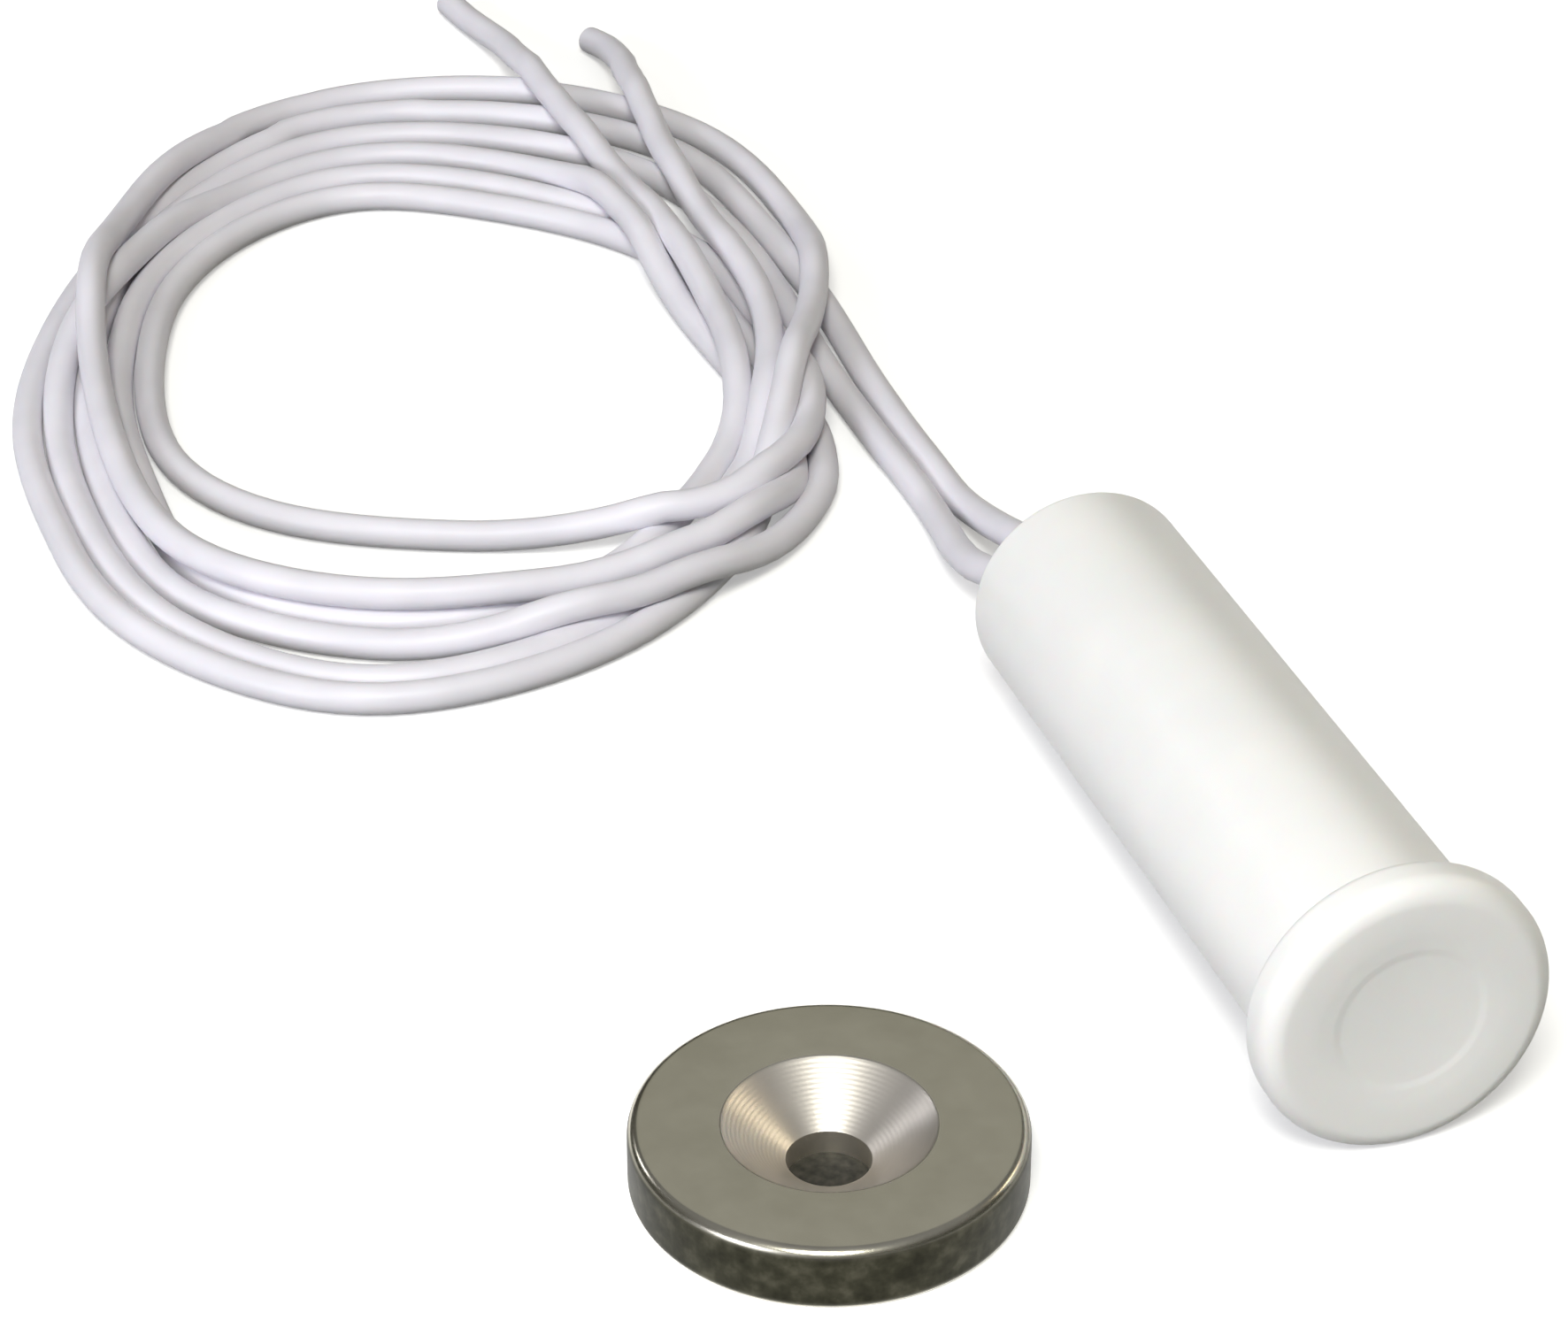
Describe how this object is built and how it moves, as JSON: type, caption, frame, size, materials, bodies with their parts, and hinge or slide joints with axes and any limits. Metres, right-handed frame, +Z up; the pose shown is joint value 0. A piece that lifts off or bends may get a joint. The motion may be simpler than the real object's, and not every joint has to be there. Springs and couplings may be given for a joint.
{
  "type": "recessed magnetic contact",
  "caption": "Reed switch potted in a white flanged barrel for a drilled hole, with long coiled leads, and the countersunk disc magnet that works it.",
  "frame": {"origin": "on the table, at the middle of the box round the switch's barrel and the magnet, leads left out", "axes": "+Z up; +Y from the barrel's face towards its leads, though the barrel's axis falls 2 degrees towards them; the magnet lies to -X of the barrel"},
  "size_m": [0.0454, 0.1074, 0.0117],
  "materials": {
    "white_plastic": "moulded, satin",
    "epoxy": "poured, glossy",
    "glass": "clear, fused",
    "nickel_iron": "plated",
    "solder": "bright",
    "copper": "drawn",
    "white_vinyl": "extruded, satin",
    "nickel": "bright nickel plate"
  },
  "bodies": {
    "root": {"housing": "white_plastic", "potting": "epoxy", "reed_glass": "glass", "front_reed": "nickel_iron", "rear_reed": "nickel_iron", "front_splice": "solder", "rear_splice": "solder", "lead_a_core": "copper", "lead_b_core": "copper", "lead_a_jacket": "white_vinyl", "lead_b_jacket": "white_vinyl", "lead_a_tail": "white_vinyl", "lead_b_tail": "white_vinyl", "lead_coil": "white_vinyl", "lead_a_end": "white_vinyl", "lead_b_end": "white_vinyl", "magnet": "nickel"}
  },
  "joints": []
}
